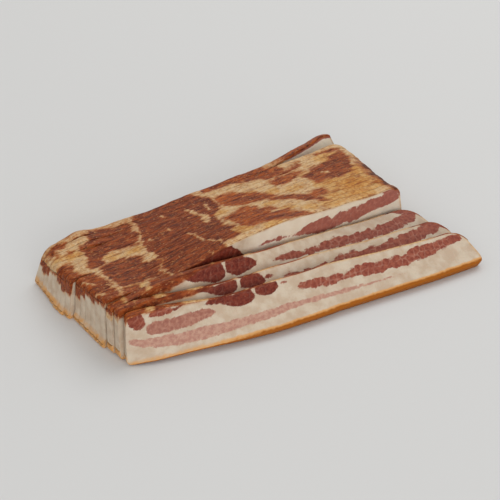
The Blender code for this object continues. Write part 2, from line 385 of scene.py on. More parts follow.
def slice_length(number):
    """Length of a slice along its rind: the rear ones reach further to the right."""
    right_end = SLICE_LENGTH + REAR_EXTRA_LENGTH * (1.0 - front_share(number)) ** REAR_LENGTH_POWER
    right_end += RIGHT_END_STEP * step_of(number, 2)
    if number >= BLOCK_SLICES:
        right_end += FAN_EXTRA_LENGTH
    return right_end - left_end(number)


def top_wave(number, x):
    wave = np.sin(2.0 * math.pi * x / TOP_WAVELENGTH + TOP_WAVE_TURN * number)
    return TOP_STEP * step_of(number, 3) + TOP_WAVE * wave


def block_height(number, x):
    """Height of the smoked top above the floor."""
    front = front_share(number)
    left = 1.0 - ease(0.0, LEFT_RISE_END, x)
    height = BACK_LEFT_HEIGHT + FRONT_LEFT_RISE * front * left + FRONT_RISE * front
    right_rise = REAR_RIGHT_RISE + (FRONT_RIGHT_RISE - REAR_RIGHT_RISE) * front
    height = height + right_rise * ease(*RIGHT_RISE_SPAN, x)
    height = height + REAR_BUMP_RISE * rear_share(number) * hump(REAR_BUMP_CENTRE, REAR_BUMP_REACH, x)
    height = height + HUMP_RISE * front**HUMP_POWER * hump(HUMP_CENTRE, HUMP_REACH, x)
    return height + top_wave(number, x)


def cut_y(cut, x):
    """The cutting path: cut n parts slice n - 1 from slice n. It leaves the crack open at the left end."""
    wave = np.sin(2.0 * math.pi * x / CUT_WAVELENGTH + CUT_WAVE_TURN * cut)
    y = -PITCH * cut + CUT_WAVE * wave
    if cut > CRACK_AFTER_SLICE:
        y = y - CRACK_WIDTH * (1.0 - ease(0.0, CRACK_DEPTH, x))
    return y


def block_pose(number, x):
    """(foot line, lean, width, thickness) of a slice of the block at x, with the lean in radians."""
    back = cut_y(number, x) - SLICE_GAP / 2.0
    front = cut_y(number + 1, x) + SLICE_GAP / 2.0
    if number == CRACK_AFTER_SLICE:
        front = front + CRACK_WIDTH * (1.0 - ease(0.0, CRACK_DEPTH, x))
    lean = np.full_like(x, math.pi / 2.0)
    if number == 0:
        splay = np.clip((x - SPLAY_START) / (SLICE_LENGTH - SPLAY_START), 0.0, 1.0)
        thickness = back - front
        back = back + SPLAY_FOOT * splay**2
        front = back - thickness
        lean = lean - math.radians(SPLAY_LEAN) * splay**SPLAY_POWER
    return back, lean, block_height(number, x), back - front


def fan_lean(place, x):
    """Lean from the floor in radians. place is 0 for the slice next to the block."""
    run = (np.hypot(np.clip(x, 0.0, None), SOFT_START) - SOFT_START) / LEAN_REACH[place]
    lying = LYING_LEAN[place]
    return np.radians(lying + (STANDING_LEAN - lying) * np.exp(-(run ** LEAN_POWER[place])))


def fan_width(place, x):
    left, middle, right = FAN_LEFT_WIDTH[place], FAN_MIDDLE_WIDTH[place], FAN_RIGHT_WIDTH[place]
    width = left + (middle - left) * ease(*FAN_LEFT_SPAN, x) + (right - middle) * ease(*FAN_RIGHT_SPAN, x)
    return width + FAN_HUMP[place] * hump(HUMP_CENTRE, HUMP_REACH, x)


def fan_foot(place, x):
    """Where a slice of the fan stands: it rests its top edge, or its back, on the slice behind it."""
    lean, width = fan_lean(place, x), fan_width(place, x)
    clearance = FAN_CLEARANCE / np.sin(lean) + FAN_LEFT_GAP * (1.0 - ease(0.0, CRACK_DEPTH, x))
    if place == 0:
        face = cut_y(BLOCK_SLICES, x) + SLICE_GAP / 2.0
        return face - width * np.cos(lean) - clearance
    behind, behind_width = fan_lean(place - 1, x), fan_width(place - 1, x)
    edge_y = fan_foot(place - 1, x) - FAN_THICKNESS * np.sin(behind)
    edge_z = FAN_THICKNESS * np.cos(behind)
    on_its_foot = edge_y - edge_z / np.tan(lean)
    top_z = np.minimum(width * np.sin(lean), behind_width * np.sin(behind) + edge_z)
    on_its_face = edge_y + (top_z - edge_z) / np.tan(behind) - width * np.cos(lean)
    return np.minimum(on_its_foot, on_its_face) - clearance


def fan_pose(number, x):
    place = number - BLOCK_SLICES
    width = fan_width(place, x) + FAN_TOP_WAVE * top_wave(number, x)
    return fan_foot(place, x), fan_lean(place, x), width, np.full_like(x, FAN_THICKNESS)


def corner_rise(distance, radius):
    """How far a round corner lifts the edge, at a distance from the end."""
    inside = np.clip(radius - distance, 0.0, radius)
    return radius - np.sqrt(radius**2 - inside**2)


def left_corners(number):
    """(setback of the top, radius at the top, radius at the foot) of a slice's left end."""
    rear = (1.0 - front_share(number)) ** 2
    setback = FRONT_LEFT_SETBACK + (REAR_LEFT_SETBACK - FRONT_LEFT_SETBACK) * rear
    top_radius = FRONT_TOP_RADIUS + (REAR_TOP_RADIUS - FRONT_TOP_RADIUS) * rear
    return setback, top_radius, FAN_FOOT_RADIUS if number >= BLOCK_SLICES else BLOCK_FOOT_RADIUS


# ---- fine mesh of one slice


def crown_share(across):
    """How far the smoked edge has rounded off, 0 near the middle of the thickness and 1 at the faces."""
    front_side = (across - CROWN_MIDDLE) / (1.0 - CROWN_MIDDLE)
    side = np.where(across > CROWN_MIDDLE, front_side, 1.0 - across / CROWN_MIDDLE)
    return side**CROWN_POWER


def along_stations(length):
    """Distances along the slice, closer together where the corners round off."""
    turn = 1.0 - np.cos(np.linspace(0.0, math.pi / 2.0, END_STATIONS))
    left = FAN_FOOT_RADIUS * turn
    right = length - RIGHT_TOP_RADIUS * turn[::-1]
    count = int(round((right[0] - left[-1]) / ALONG_SPACING))
    return np.concatenate([left, np.linspace(left[-1], right[0], count + 1)[1:-1], right])


def up_levels(spacing):
    """Shares of the width: close together at both edges of the slice and spacing apart between them."""
    low = EDGE_EASE * np.array([0.0, 1.0, 2.0])
    high = TYPICAL_WIDTH - low[::-1]
    count = max(int(round((high[0] - low[-1]) / spacing)), 2)
    return np.concatenate([low, np.linspace(low[-1], high[0], count + 1)[1:-1], high]) / TYPICAL_WIDTH


def grid_faces(index):
    """Quads over a 2D grid of vertex numbers."""
    return np.stack([index[:-1, :-1], index[1:, :-1], index[1:, 1:], index[:-1, 1:]], axis=-1).reshape(-1, 4)


def box_skin(shape):
    """(i, j, k, quads): the grid points on the outside of a box, and the quads between them."""
    i, j, k = np.indices(shape)
    skin = (i == 0) | (i == shape[0] - 1) | (j == 0) | (j == shape[1] - 1) | (k == 0) | (k == shape[2] - 1)
    index = np.full(shape, -1)
    index[skin] = np.arange(skin.sum())
    quads = np.concatenate([
        grid_faces(index[:, :, -1]),
        grid_faces(index[:, :, 0])[:, ::-1],
        grid_faces(index[:, -1, :])[:, ::-1],
        grid_faces(index[:, 0, :]),
        grid_faces(index[0]),
        grid_faces(index[-1])[:, ::-1],
    ])
    return i[skin], j[skin], k[skin], quads


def slice_grid(number):
    """(positions, quads, local) of a slice. local holds what the meat's fields need at every vertex."""
    length, start = slice_length(number), left_end(number)
    shown = number == 0 or number >= BLOCK_SLICES - 1
    stations, levels = along_stations(length), up_levels(UP_SPACING if shown else HIDDEN_SPACING)
    i, j, k, quads = box_skin((len(stations), len(levels), len(ACROSS)))
    along, up, across = stations[i], levels[j], ACROSS[k]

    pose = fan_pose if number >= BLOCK_SLICES else block_pose
    left_setback, left_top_radius, left_foot_radius = left_corners(number)
    _, _, width, thickness = pose(number, start + along)
    low = corner_rise(along, left_foot_radius) + corner_rise(length - along, RIGHT_FOOT_RADIUS)
    sink = SPLAYED_TOP_SINK if number == 0 else RIGHT_TOP_SINK
    if number >= BLOCK_SLICES:
        sink = FAN_TOP_SINK
    drop = corner_rise(along, left_top_radius)
    drop = drop + corner_rise(length - along, RIGHT_TOP_RADIUS) * sink / RIGHT_TOP_RADIUS
    high = width - drop - CROWN * crown_share(across)
    edge = np.minimum(across, 1.0 - across) * thickness
    low = low + EDGE_SLOPE * np.clip(EDGE_EASE - edge, 0.0, None)
    height = low + up * (high - low)
    foot_corner = np.clip(EDGE_EASE - (height - low), 0.0, None) * EDGE_SLOPE
    depth = np.clip(across * thickness, foot_corner, thickness - foot_corner)

    from_left = 1.0 - ease(0.0, SETBACK_REACH, along)
    from_right = ease(length - SETBACK_REACH, length, along)
    setback = left_setback * from_left - RIGHT_TOP_SETBACK * from_right
    flare = left_flare(number) * from_left * np.minimum(height / FLARE_HEIGHT, 1.0)
    x = start + along + setback * height / width + flare
    round_end = END_ROUND * np.abs(2.0 * across - 1.0) ** 3
    x = x + round_end * (1.0 - ease(0.0, END_REACH, along))
    x = x - round_end * ease(length - END_REACH, length, along)
    foot_y, lean, _, _ = pose(number, x)
    slope = (pose(number, x + SLOPE_STEP)[0] - pose(number, x - SLOPE_STEP)[0]) / (2.0 * SLOPE_STEP)
    turn = np.arctan(slope) if number >= BLOCK_SLICES else np.zeros_like(x)
    reach = height * np.cos(lean) - depth * np.sin(lean)
    z = height * np.sin(lean) + depth * np.cos(lean)
    positions = np.stack([x - reach * np.sin(turn), foot_y + reach * np.cos(turn), z], axis=-1) - ORIGIN
    local = SimpleNamespace(
        number=number,
        length=length * MM,
        along=along * MM,
        slab_y=(PITCH * number + depth) * MM,
        height=height * MM,
        width=width * MM,
        below_top=(width - drop - height) * MM,
        across=across,
        top=j == len(levels) - 1,
        foot=j == 0,
    )
    return positions, quads, local


def vertex_normals(positions, quads):
    """Outward normals, each face weighing by its area."""
    a, b, c, d = (positions[quads[:, n]] for n in range(4))
    flat = np.cross(c - a, d - b)
    normals = np.zeros_like(positions)
    for n in range(4):
        for axis in range(3):
            normals[:, axis] += np.bincount(quads[:, n], flat[:, axis], len(positions))
    return normals / np.maximum(np.linalg.norm(normals, axis=1, keepdims=True), 1e-20)


# ---- noise and outlines


def lattice(cells, seed):
    """A repeatable number from 0 to 1 for each cell of a lattice."""
    mixed = cells[..., 0] * 127.1 + cells[..., 1] * 311.7 + cells[..., 2] * 74.7 + seed * 53.3
    value = np.sin(mixed) * 43758.5453
    return value - np.floor(value)


def noise(points, size, seed):
    """Smooth noise from -1 to 1 with bumps of the given size, one size or one for each axis."""
    scaled = points / size
    cell = np.floor(scaled)
    share = scaled - cell
    share = share * share * (3.0 - 2.0 * share)
    total = 0.0
    for corner in np.ndindex(2, 2, 2):
        weight = np.prod(np.where(corner, share, 1.0 - share), axis=-1)
        total = total + weight * lattice(cell + np.array(corner), seed)
    return 2.0 * total - 1.0


def uneven(use, spot):
    """The unevenness of one use, from minus its amount to its amount."""
    seed, size, amount = UNEVEN[use]
    return amount * noise(spot, np.array(size), seed)


def bundles(u, v, size, seed):
    """(centre_u, centre_v, edge) at each point: the middle of its bundle and the distance to a seam."""
    skewed = u - BUNDLE_SKEW * v
    cell_u, cell_v = np.floor(skewed / size), np.floor(v / size)
    nearest, second = np.full_like(u, np.inf), np.full_like(u, np.inf)
    centre_u, centre_v = np.zeros_like(u), np.zeros_like(v)
    spread = 1.0 - 2.0 * BUNDLE_MARGIN
    for step_u in (-1, 0, 1):
        for step_v in (-1, 0, 1):
            own = np.stack([cell_u + step_u, cell_v + step_v, np.full_like(u, seed)], axis=-1)
            own_u = (own[..., 0] + BUNDLE_MARGIN + spread * lattice(own, 1)) * size
            own_v = (own[..., 1] + BUNDLE_MARGIN + spread * lattice(own, 2)) * size
            distance = np.hypot(skewed - own_u, v - own_v)
            closer = distance < nearest
            second = np.where(closer, nearest, np.minimum(second, distance))
            nearest = np.where(closer, distance, nearest)
            centre_u, centre_v = np.where(closer, own_u, centre_u), np.where(closer, own_v, centre_v)
    return centre_u + BUNDLE_SKEW * centre_v, centre_v, (second - nearest) / 2.0


def to_segment(start, end, u, v):
    """(share of the way from start to end where the nearest point lies, distance to that point)."""
    du, dv = end[0] - start[0], end[1] - start[1]
    share = np.clip(((u - start[0]) * du + (v - start[1]) * dv) / (du * du + dv * dv), 0.0, 1.0)
    return share, np.hypot(u - start[0] - share * du, v - start[1] - share * dv)


def chain(run, u, v):
    """Signed distance into a run of thick links: u, v and radius of each joint. Positive is inside."""
    joints = [run[n : n + 3] for n in range(0, len(run), 3)]
    best = np.full_like(u, -FAR)
    for start, end in zip(joints, joints[1:]):
        share, distance = to_segment(start, end, u, v)
        best = np.maximum(best, start[2] + share * (end[2] - start[2]) - distance)
    return best


def area(outline, u, v):
    """Signed distance into a closed outline: u and v of each corner. Positive is inside."""
    corners = [outline[n : n + 2] for n in range(0, len(outline), 2)]
    distance = np.full_like(u, FAR)
    inside = np.zeros(u.shape, bool)
    for start, end in zip(corners, corners[1:] + corners[:1]):
        distance = np.minimum(distance, to_segment(start, end, u, v)[1])
        (u0, v0), (u1, v1) = start, end
        if v0 != v1:
            inside ^= ((v0 > v) != (v1 > v)) & (u < u0 + (v - v0) * (u1 - u0) / (v1 - v0))
    return np.where(inside, distance, -distance)


def from_back(flat, size):
    """A run or outline with the second value of each point turned from slices into millimetres."""
    return [value * PITCH * MM if n % size == 1 else value for n, value in enumerate(flat)]


# ---- where the lean and the fat lie


# Lean on the smoked top, back to front: (darkness, outline). Each corner of an outline is two numbers:
# 240ths of the length, slices from the back.
TOP_AREAS = [
    (0.8, (1, 0.5, 5, 0.4, 10, 0.6, 14, 1, 13, 1.4, 10, 1.7, 5, 1.5, 2, 2, 0, 1.8, -2, 0.8)),
    (0.6, (2, 2.1, 4, 2.3, 3.5, 2.8, 2, 2.7)),
    (0.85, (31, 1, 36, 0.6, 43, 0.3, 48, 0.7, 52, 1, 58, 1, 62, 0.9, 64, 1.4, 64, 2.3, 61, 2.9, 64, 3.4,
     64, 4.2, 62, 5, 60, 5.6, 52, 5.4, 46, 5.2, 40, 5.2, 35, 5.8, 32, 6.3, 30, 6.9, 26, 7.2, 20, 7.3,
     18, 6.8, 20, 6, 24, 5.2, 24, 4.2, 23, 3.6, 21, 3.2, 22, 2.5, 26, 2.7, 29, 2.4, 31, 1.8)),
    (0.88, (27, 7.2, 34, 7, 43, 7, 46, 7.5, 52, 7.7, 54, 8.1, 51, 8.4, 50, 9.2, 52, 9.8, 57, 10, 58, 10.8,
     54, 11.3, 51, 12, 50, 12.9, 40, 12.6, 34, 12.8, 26, 12.6, 19, 12.8, 17, 12.4, 17.5, 11.3, 19, 10.8,
     18, 10.2, 18, 9.2, 20, 8.5, 22, 7.9)),
    (0.72, (-8, 4.7, 0, 4.8, 6, 4.9, 9, 5, 10, 5.6, 8, 6.2, 8, 7, 9, 7.8, 14, 8, 15, 8.8, 14, 9.4, 15, 10.2,
     16, 11, 14, 11.5, 12, 11.8, 10, 12.2, 13, 12.6, 12, 13.4, 9, 14.2, -8, 14.2)),
    (0.75, (16, 13, 22, 12.9, 29, 13, 28, 13.6, 30, 14.2, 15, 14.2)),
    (0.7, (36, 13, 48, 13, 52, 13.4, 50, 14.2, 38, 14.2, 37, 13.5)),
    (1, (66, 0.5, 70, 0.2, 78, -0.3, 90, -0.3, 105, -0.2, 112, 0.3, 117, 1.2, 119, 2, 121, 3, 123, 4, 123, 5,
     119, 5.7, 114, 6.6, 112, 7.2, 111, 8, 110, 9, 108, 9.6, 109, 10.2, 113, 10.5, 111, 11, 107, 11.4,
     106, 12.2, 106, 13, 100, 13.4, 95, 13.1, 92, 13.3, 91, 14.2, 55, 14.2, 53, 13.3, 52, 12.6, 54, 11.6,
     57, 11, 59, 10.3, 58, 9.5, 59, 8.2, 60.5, 7.8, 61, 6.8, 63, 5.8, 62.5, 5.3, 64, 4.5, 66, 3.5, 66, 2.2,
     67, 1.5, 65, 0.9)),
    (0.5, (124, 3, 130, 2.7, 137, 3, 140, 3.6, 143, 4.2, 150, 5, 155, 5.5, 158, 6.5, 161, 7.2, 158, 7.5,
     152, 7.3, 143, 7, 137, 6.6, 131, 6.1, 126, 5.6, 124, 5, 123, 4)),
    (0.55, (172, 9.6, 180, 9.2, 188, 9.2, 191, 9.8, 190, 10.5, 184, 10.8, 178, 10.7, 172, 10.4)),
    (0.5, (112, 8, 120, 7.9, 130, 7.2, 136, 7.3, 138, 8, 139, 9, 146, 9.4, 148, 10, 146, 10.6, 141, 10.5,
     143, 11, 152, 11.3, 152, 11.9, 150, 12.4, 155, 13, 160, 13.8, 150, 13.9, 140, 13.6, 132, 13.2,
     127, 12.6, 120, 12.6, 116, 12.2, 115, 11, 115, 9, 113, 8.4)),
    (0.65, (120, -0.2, 136, -0.3, 152, -0.2, 168, 0.2, 172, 0.9, 178, 1.2, 180, 1.9, 178, 2.6, 183, 2.6,
     190, 2.1, 193, 2.1, 191, 3, 184, 3.3, 176, 3.2, 170, 3, 163, 3, 160, 2.4, 152, 2, 146, 1.7, 140, 1.2,
     135, 1.4, 125, 1.1, 120, 0.9)),
    (0.55, (163, 3.4, 170, 3.3, 180, 3.5, 190, 3.9, 191, 4.2, 183, 4.8, 176, 5.4, 170, 5.4, 166, 4.8)),
    (0.75, (188, 5, 193, 4.9, 197, 4.2, 205, 4, 212, 3.9, 220, 3.3, 226, 2.9, 231, 2.6, 232.5, 3, 232, 5,
     230, 6, 227, 7.2, 222, 7.8, 214, 8.2, 210, 8.2, 208, 7.7, 200, 7.7, 195, 7.9, 191, 7.8, 189, 7,
     189, 6)),
    (0.6, (209, 1.6, 216, 1.7, 225, 1.8, 232, 2.1, 233, 2.5, 228, 2.6, 220, 2.5, 213, 2.2, 209, 1.9)),
]
# Narrow runs of lean on top: (darkness, run). Each joint of a run is three numbers, the third its radius.
TOP_CHAINS = [
    (0.6, (9, 3, 1, 12, 2.7, 1, 15, 3.1, 1)),
    (0.8, (155, 7.6, 2.5, 160, 8.1, 3.5, 166, 9, 3.8, 170, 9.7, 4, 174, 10.4, 4, 176, 11, 3, 178, 11.7, 2,
     182, 12.2, 1.2)),
]
# Darker cores inside those, given in the same way.
TOP_CORES = [
    (0.85, (133, 5.2, 3, 144, 5.7, 4, 155, 6.6, 3)),
    (0.8, (135, 12.2, 2.5, 144, 12.7, 3.5, 152, 13.4, 2.5)),
]
# Fat that cuts through the lean on top: runs.
TOP_SEAMS = [
    (102, 2.9, 1, 103, 3.8, 1.6, 106, 4.8, 1.4, 109, 5.8, 2, 107, 6.7, 3, 106, 7.3, 2.2),
    (87, 8.1, 0.5, 88.5, 9, 0.9, 90, 9.7, 0.8, 88, 10.3, 0.7, 90, 11.2, 0.9, 92, 11.8, 0.8, 94, 12.6, 0.9,
     95, 13.2, 0.8, 97, 13.7, 0.8),
    (82, 13.3, 0.4, 82, 14.2, 0.6),
    (115, 3.4, 0.9, 115, 4.8, 0.9),
    (83, 5.4, 0.7, 84, 5.7, 0.7),
    (68, 5.6, 0.6, 70, 6.2, 0.8),
    (85, 2.2, 0.6, 85.5, 2.5, 0.6),
    (65, 0.6, 1, 66.5, 1.6, 0.9, 65.5, 3, 1, 63.5, 4.6, 1.1, 62.5, 5.8, 1.2, 60, 7.2, 1.4, 57.5, 8.4, 2,
     57, 9.4, 2),
    (202, 5.8, 1.2, 206, 6.4, 1.2),
    (2, 9.2, 0.8, 5, 10.4, 1),
    (12, 11.3, 1.2, 14, 12, 1.2),
    (0, 12.3, 1.2, 4, 12.9, 1),
]
# A dark crack on top, and how soft its edge is.
TOP_CRACK = (219, 10.8, 0.5, 231, 11.2, 1.1)
CRACK_EDGE = (-0.3, 0.4)
# How soft the edge of a core is, and how steeply lean falls off into a seam.
CORE_EDGE = (-1.5, 1.0)
SEAM_SLOPE = 1.5
# Where the fat on top is golden from the smoke: (240ths of the length, slices from the back, reach, amount).
# Then how golden the rest is, and how much shorter the reach is across the slices.
TOP_GOLD = [
    (14, 3.6, 8, 0.8), (5, 3.2, 6, 0.6), (40, 6.2, 10, 0.5), (55, 6.6, 8, 0.6), (22, 6.6, 6, 0.5),
    (56, 10.6, 6, 0.85), (28, 13.2, 8, 0.6), (112, 12.2, 9, 0.9), (120, 9.6, 7, 0.85), (118, 6.6, 6, 0.7),
    (150, 8.6, 8, 0.6), (145, 4.4, 8, 0.5), (160, 6, 8, 0.6), (155, 11, 8, 0.6), (175, 7, 12, 0.5),
    (213, 10.5, 22, 1.1), (225, 7.9, 12, 1), (205, 12.5, 18, 0.9), (190, 11.6, 12, 0.8), (215, 2.9, 14, 0.6),
    (185, 4.4, 8, 0.45), (200, 8.4, 14, 0.85), (233, 12, 10, 1.15), (180, 13, 12, 0.65),
    (165, 12.6, 10, 0.55), (130, 13.6, 9, 0.7),
]
LEAST_GOLD = 0.25
GOLD_SQUASH = 1.5
# Lean on the tops of the fanned slices, from the block's side: (from, to, darkness) in 240ths of the length.
FAN_TOPS = [
    [(-9, 10, 0.75), (13, 28, 0.85), (32, 53, 0.72), (53, 72.5, 0.95), (74, 95, 0.95), (101, 129, 0.3),
     (216, 249, 0.85)],
    [(-9, 12, 0.6), (13, 26, 0.7), (34, 48, 0.6), (58, 77, 0.9), (80, 90, 0.92), (111, 132, 0.42),
     (214, 249, 0.85)],
    [(-9, 12, 0.55), (18, 36, 0.6), (52, 75, 0.9), (78, 90, 0.95), (104, 134, 0.12), (216, 236, 0.7)],
]
# The gold of those tops: everywhere, in a patch that starts and ends between these, and to the right.
FAN_GOLD = (0.40, 0.45, 0.2)
FAN_GOLD_START, FAN_GOLD_END, FAN_GOLD_RIGHT = (96.0, 104.0), (128.0, 140.0), (150.0, 200.0)

# Lean on the cut faces: (slice from 0, darkness, outline by distance along and up from the rind). The stripes
# and the wide lobes have these darknesses.
STRIPE = 0.42
LOBE = 1.0
FACE_AREAS = [
    (13, STRIPE, (113, 27, 117, 28, 120, 29, 124, 28, 130, 27.5, 135, 26, 140, 24, 145, 25, 150, 26,
     155, 27.2, 160, 27.5, 165, 28, 170, 27, 172, 24.5, 175, 25, 179, 26.7, 183, 25.5, 186, 26.7, 190, 27,
     193, 25.5, 197, 27.6, 200, 26, 205, 28, 210, 27, 214, 26, 219, 28, 224, 29, 229, 28.5, 232, 26, 232, 20,
     228, 18.5, 222, 18, 212, 18, 203, 18, 198, 17, 193, 16, 187, 17, 182, 17.5, 175, 16.5, 168, 17, 160, 18,
     155, 19, 150, 21, 143, 22.5, 136, 24, 128, 25.5, 121, 26, 115, 26)),
    (13, LOBE, (50, 39, 52, 29, 58, 27, 63, 23, 70, 20, 78, 19, 88, 16, 110, 14, 112, 16, 108, 20, 104, 24,
     101, 28, 98, 31, 94, 35, 91, 39)),
    (14, STRIPE, (113, 26.5, 117, 28, 121, 29, 126, 28.5, 131, 28.8, 135, 27.5, 139, 25.5, 143, 27, 148, 26.5,
     151, 25.3, 155, 28, 159, 27.8, 164, 28.6, 169, 29, 173, 27.5, 176, 25.3, 181, 27.2, 184, 26.5, 187, 25.2,
     192, 27, 194, 25, 199, 25.8, 201, 27, 205, 26, 210, 27.3, 215, 26, 220, 28.5, 225, 29, 230, 30, 235, 29,
     237, 27, 235, 23, 231, 21, 225, 20.5, 219, 20, 210, 19.5, 200, 19, 192, 19, 186, 20, 178, 19.5,
     172, 20.5, 165, 21, 158, 21.5, 150, 22.5, 143, 22.5, 135, 23.5, 128, 24.5, 121, 25, 116, 25.5)),
    (14, LOBE, (51, 39, 51, 31, 54, 29.5, 58, 27.5, 63, 26, 68, 24, 72, 23, 76, 24, 79, 25.5, 79.3, 28,
     78.5, 31.5, 77, 35, 76, 39)),
    (14, LOBE, (79, 39, 80.5, 34, 80.5, 30, 80.5, 27, 83, 25, 88, 23.5, 93, 24.5, 97, 25.5, 101, 27, 102, 29,
     99, 31.5, 95, 33.3, 92, 35, 90, 39)),
    (14, 0.8, (38, 29, 40, 31, 46, 32, 51, 31.5, 50, 29, 45, 28, 40, 28)),
    (15, STRIPE, (109, 22.5, 111, 24, 115, 24.7, 120, 24, 124, 22.7, 130, 22.5, 137, 23, 141, 23.3, 143, 22.5,
     147, 23, 150, 24.8, 156, 25.2, 160, 25, 164, 24.8, 166, 23, 170, 24.2, 174, 24.5, 179, 24, 183, 23.3,
     186, 24.7, 190, 25.5, 192, 25.8, 196, 25, 200, 26.5, 204, 26.3, 207, 25.6, 211, 27, 216, 27.5, 222, 27.8,
     228, 28.3, 233, 28, 233, 22.5, 230, 20.5, 225, 20.5, 218, 20, 210, 18, 204, 17.8, 200, 18.5, 190, 18.5,
     180, 18.5, 172, 18.7, 168, 19.5, 163, 20.5, 158, 21, 150, 21, 143, 21.3, 135, 20.8, 125, 21, 120, 21.3,
     115, 22)),
    (15, LOBE, (50, 28.5, 52, 29.5, 58, 29.3, 64, 28.3, 70, 29, 76, 29.6, 78, 28.5, 78.3, 25, 77, 23,
     74, 21.5, 70, 21, 65, 22, 60, 25, 55, 26.5, 51, 27.5)),
    (15, LOBE, (80, 23.5, 80, 28, 82, 29.5, 87, 30, 93, 30.2, 95, 29, 96, 27, 98, 24, 95, 22, 92, 21,
     87, 20.5, 84, 22.5)),
    (15, 0.7, (96.5, 26, 99, 27.5, 103, 26.6, 104, 25.8, 101, 24.8)),
    (15, 0.45, (34, 29.2, 38, 31, 44, 31, 50, 30.5, 50, 29.2, 44, 28.6, 38, 28.8)),
    (16, STRIPE, (108, 22, 112, 24, 118, 23.5, 122, 22.5, 128, 22, 130, 20.5, 134, 21, 138, 21, 141, 19.5,
     146, 21.5, 150, 22.5, 155, 22.8, 160, 22, 164, 20.2, 170, 21, 175, 20.5, 178, 21.5, 183, 20.3, 187, 21.5,
     191, 22.5, 196, 23.5, 200, 22.8, 206, 23.5, 212, 23, 218, 23.5, 225, 23.5, 230, 22.5, 233, 20.5,
     232, 18.5, 226, 17.5, 218, 17, 208, 16, 198, 15.5, 190, 14.5, 184, 13.5, 178, 14, 172, 15, 165, 14.2,
     158, 15, 150, 16, 143, 16.5, 135, 16.3, 128, 16.8, 120, 17.5, 114, 19, 110, 20.5)),
    (16, LOBE, (48, 25, 50, 26.5, 54, 27.3, 60, 27, 66, 27, 70, 28, 74, 29, 78, 28.5, 79.7, 26, 79.5, 22.5,
     77, 20.5, 72, 20, 67, 20, 63, 21, 58, 23.5, 53, 24.5)),
    (16, LOBE, (80.7, 25, 81, 28, 84, 29.5, 88, 30, 93, 30, 96.5, 29, 97.5, 26, 96, 24, 93, 23, 89, 22,
     84, 22.5, 81.5, 24)),
    (16, 0.3, (98, 26.2, 101, 27.5, 104, 26.5, 102, 25.5)),
    (16, 0.62, (1.5, 33, 4, 35, 8, 33, 9.5, 30, 10, 27, 11, 23, 8, 21, 5, 22, 3, 25, 1.5, 29)),
    (16, 0.5, (12, 27, 14, 30, 18, 31.5, 22, 31, 26, 29, 30, 27, 27, 25.5, 22, 25.5, 16, 26)),
    (16, 0.22, (11, 21, 12, 23, 16, 24, 20, 23, 26, 22.5, 33, 22, 40, 22.5, 46, 23, 50, 22.5, 54, 20.5,
     54, 19, 51, 17.5, 47, 17, 42, 16, 38, 15, 32, 15, 25, 15, 19, 15.5, 14, 16.5, 12, 18)),
    (16, 0, (2, 16.5, 5, 17, 8, 15.5, 12, 14.5, 20, 14, 25, 13.5, 30, 12.5, 40, 12.5, 57, 12.5, 68, 12.5,
     80, 13.2, 90, 13, 100, 14, 108, 13, 118, 12.8, 130, 11.7, 140, 11, 152, 10.5, 165, 9.8, 180, 9.2,
     180, 8.6, 165, 8.6, 150, 8.7, 140, 8.5, 130, 8.8, 120, 9.3, 110, 10.3, 100, 9.8, 90, 8.5, 80, 8, 70, 7.5,
     60, 7, 50, 6, 40, 5.5, 30, 6, 22, 7, 15, 8.5, 9, 10.5, 5, 12, 2.5, 14)),
]
# Thin runs of lean on the front face, given in the same way.
FACE_CHAINS = [
    (16, 0.9, (15, 32, 0.7, 20, 30, 0.9, 25, 27.7, 0.9, 30, 26.7, 0.8, 34, 27.6, 0.6)),
    (16, 0.6, (34, 28, 0.6, 39, 29, 0.8, 45, 29, 0.8, 52, 28.4, 0.5)),
]


def blend_fields(parts):
    """The highest of several (field, value) pairs, and the value that goes with it."""
    best, value = parts[0][0], np.full_like(parts[0][0], parts[0][1])
    for field, own in parts[1:]:
        value = np.where(field > best, own, value)
        best = np.maximum(best, field)
    return best, value


def top_fields(u, y):
    """(lean, darkness, gold) of the block's smoked top."""
    parts = [(area(from_back(outline, 2), u, y), dark) for dark, outline in TOP_AREAS]
    parts += [(chain(from_back(run, 3), u, y), dark) for dark, run in TOP_CHAINS]
    lean, dark = blend_fields(parts)
    for own, run in TOP_CORES:
        dark = np.maximum(dark, own * ease(*CORE_EDGE, chain(from_back(run, 3), u, y)))
    for run in TOP_SEAMS:
        lean = np.minimum(lean, -SEAM_SLOPE * chain(from_back(run, 3), u, y))
    gold = np.full_like(u, LEAST_GOLD)
    for centre_u, centre_k, reach, amount in TOP_GOLD:
        off = np.hypot(u - centre_u, GOLD_SQUASH * (y - centre_k * PITCH * MM))
        gold = np.maximum(gold, amount * np.exp(-((off / reach) ** 2)))
    return lean, dark, gold


def fan_top_fields(place, u):
    """(lean, darkness, gold) of the smoked edge of a fanned slice."""
    lean, dark = blend_fields([(np.minimum(u - start, end - u), own) for start, end, own in FAN_TOPS[place]])
    patch = ease(*FAN_GOLD_START, u) * (1.0 - ease(*FAN_GOLD_END, u))
    return lean, dark, FAN_GOLD[0] + FAN_GOLD[1] * patch + FAN_GOLD[2] * ease(*FAN_GOLD_RIGHT, u)


